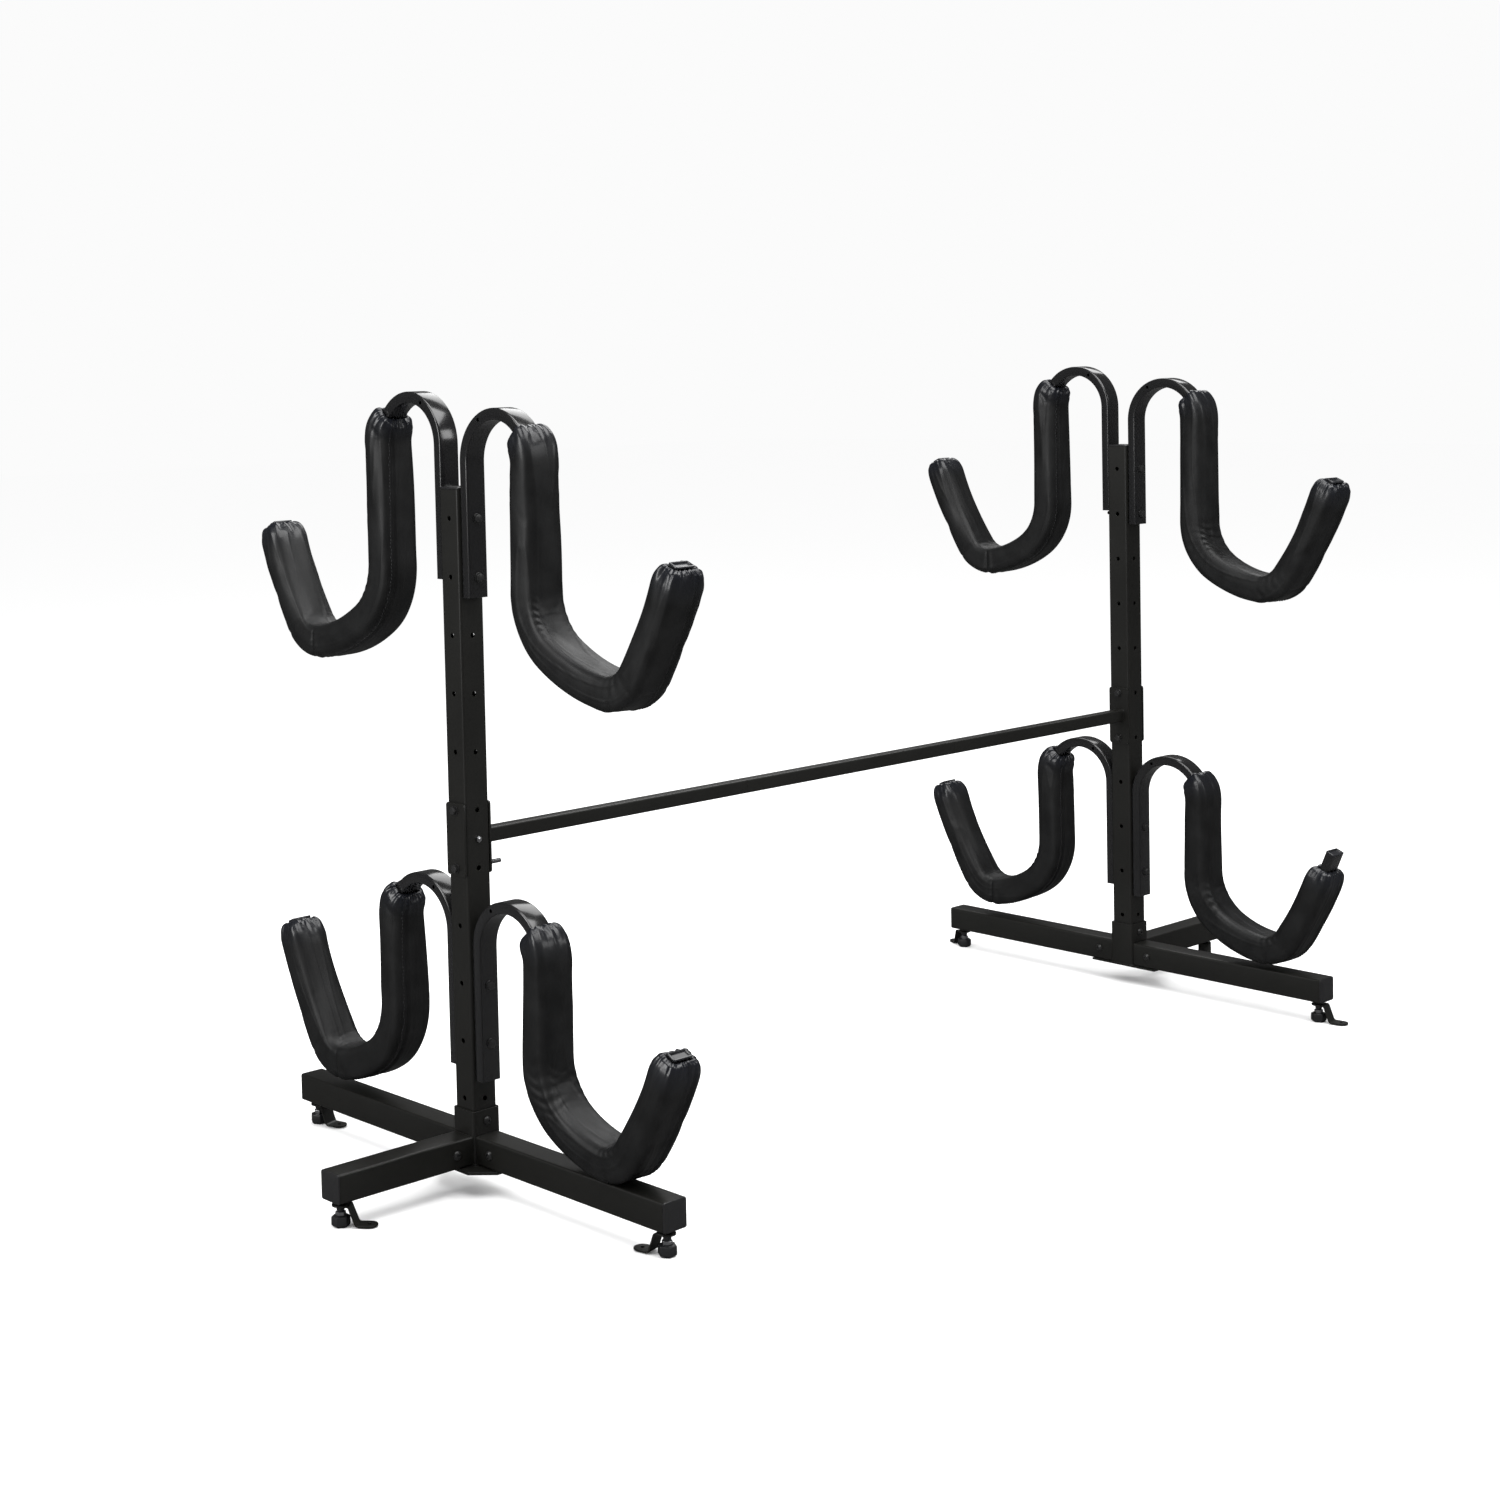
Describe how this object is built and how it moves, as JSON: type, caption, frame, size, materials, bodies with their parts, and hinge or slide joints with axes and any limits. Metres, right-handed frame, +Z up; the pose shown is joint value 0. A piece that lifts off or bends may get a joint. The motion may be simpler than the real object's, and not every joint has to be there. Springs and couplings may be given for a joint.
{
  "type": "kayak stand",
  "caption": "Free-standing kayak stand: hole-punched square posts on three-legged bases, a sectional crossbar, and padded J-shaped cradle arms.",
  "frame": {"origin": "on the floor, midway between the two posts", "axes": "+X along the crossbar to the right post, +Y to the back of the stand, +Z up"},
  "size_m": [2.497, 1.1266, 1.384],
  "materials": {
    "frame_steel": "satin black powder coat",
    "arm_steel": "gloss black powder coat",
    "cap_plastic": "black moulded plastic",
    "foot_plastic": "black moulded plastic on a zinc-plated stud",
    "pad_cover": "black coated nylon over foam"
  },
  "bodies": {
    "stand": {"left_post": "frame_steel", "left_post_cap": "cap_plastic", "left_hub": "frame_steel", "left_clamp": "frame_steel", "left_front_leg": "frame_steel", "left_front_leg_cap": "cap_plastic", "left_rear_leg": "frame_steel", "left_rear_leg_cap": "cap_plastic", "left_outer_leg": "frame_steel", "left_outer_leg_cap": "cap_plastic", "left_front_upper_arm": "arm_steel", "left_front_upper_pad": "pad_cover", "left_front_upper_plug": "cap_plastic", "left_rear_upper_arm": "arm_steel", "left_rear_upper_pad": "pad_cover", "left_rear_upper_plug": "cap_plastic", "left_front_lower_arm": "arm_steel", "left_front_lower_pad": "pad_cover", "left_front_lower_plug": "cap_plastic", "left_rear_lower_arm": "arm_steel", "left_rear_lower_pad": "pad_cover", "left_rear_lower_plug": "cap_plastic", "left_crossbar": "frame_steel", "middle_crossbar": "frame_steel", "right_crossbar": "frame_steel", "right_post": "frame_steel", "right_post_cap": "cap_plastic", "right_hub": "frame_steel", "right_clamp": "frame_steel", "right_front_leg": "frame_steel", "right_front_leg_cap": "cap_plastic", "right_rear_leg": "frame_steel", "right_rear_leg_cap": "cap_plastic", "right_outer_leg": "frame_steel", "right_outer_leg_cap": "cap_plastic", "right_front_upper_arm": "arm_steel", "right_front_upper_pad": "pad_cover", "right_front_upper_plug": "cap_plastic", "right_rear_upper_arm": "arm_steel", "right_rear_upper_pad": "pad_cover", "right_rear_upper_plug": "cap_plastic", "right_front_lower_arm": "arm_steel", "right_front_lower_pad": "pad_cover", "right_front_lower_plug": "cap_plastic", "right_rear_lower_arm": "arm_steel", "right_rear_lower_pad": "pad_cover", "right_rear_lower_plug": "cap_plastic"},
    "left_front_levelling_foot": {"left_front_foot": "foot_plastic"},
    "left_rear_levelling_foot": {"left_rear_foot": "foot_plastic"},
    "left_outer_levelling_foot": {"left_outer_foot": "foot_plastic"},
    "right_front_levelling_foot": {"right_front_foot": "foot_plastic"},
    "right_rear_levelling_foot": {"right_rear_foot": "foot_plastic"},
    "right_outer_levelling_foot": {"right_outer_foot": "foot_plastic"},
    "left_front_tab": {"left_front_floor_tab": "frame_steel"},
    "left_rear_tab": {"left_rear_floor_tab": "frame_steel"},
    "left_outer_tab": {"left_outer_floor_tab": "frame_steel"},
    "right_front_tab": {"right_front_floor_tab": "frame_steel"},
    "right_rear_tab": {"right_rear_floor_tab": "frame_steel"},
    "right_outer_tab": {"right_outer_floor_tab": "frame_steel"}
  },
  "joints": [
    {"name": "left_front_foot_screw", "type": "slide", "parent": "stand", "child": "left_front_levelling_foot", "axis": [0, 0, -1], "range_m": [0, 0.015]},
    {"name": "left_rear_foot_screw", "type": "slide", "parent": "stand", "child": "left_rear_levelling_foot", "axis": [0, 0, -1], "range_m": [0, 0.015]},
    {"name": "left_outer_foot_screw", "type": "slide", "parent": "stand", "child": "left_outer_levelling_foot", "axis": [0, 0, -1], "range_m": [0, 0.015]},
    {"name": "right_front_foot_screw", "type": "slide", "parent": "stand", "child": "right_front_levelling_foot", "axis": [0, 0, -1], "range_m": [0, 0.015]},
    {"name": "right_rear_foot_screw", "type": "slide", "parent": "stand", "child": "right_rear_levelling_foot", "axis": [0, 0, -1], "range_m": [0, 0.015]},
    {"name": "right_outer_foot_screw", "type": "slide", "parent": "stand", "child": "right_outer_levelling_foot", "axis": [0, 0, -1], "range_m": [0, 0.015]},
    {"name": "left_front_tab_turn", "type": "hinge", "parent": "left_front_levelling_foot", "child": "left_front_tab", "pos_m": [-0.9375, -0.479, 0.0365], "axis": [0, 0, 1], "continuous": true},
    {"name": "left_rear_tab_turn", "type": "hinge", "parent": "left_rear_levelling_foot", "child": "left_rear_tab", "pos_m": [-0.9375, 0.479, 0.0365], "axis": [0, 0, 1], "continuous": true},
    {"name": "left_outer_tab_turn", "type": "hinge", "parent": "left_outer_levelling_foot", "child": "left_outer_tab", "pos_m": [-1.2275, 0, 0.0365], "axis": [0, 0, 1], "continuous": true},
    {"name": "right_front_tab_turn", "type": "hinge", "parent": "right_front_levelling_foot", "child": "right_front_tab", "pos_m": [0.9375, -0.479, 0.0365], "axis": [0, 0, 1], "continuous": true},
    {"name": "right_rear_tab_turn", "type": "hinge", "parent": "right_rear_levelling_foot", "child": "right_rear_tab", "pos_m": [0.9375, 0.479, 0.0365], "axis": [0, 0, 1], "continuous": true},
    {"name": "right_outer_tab_turn", "type": "hinge", "parent": "right_outer_levelling_foot", "child": "right_outer_tab", "pos_m": [1.2275, 0, 0.0365], "axis": [0, 0, 1], "continuous": true}
  ]
}
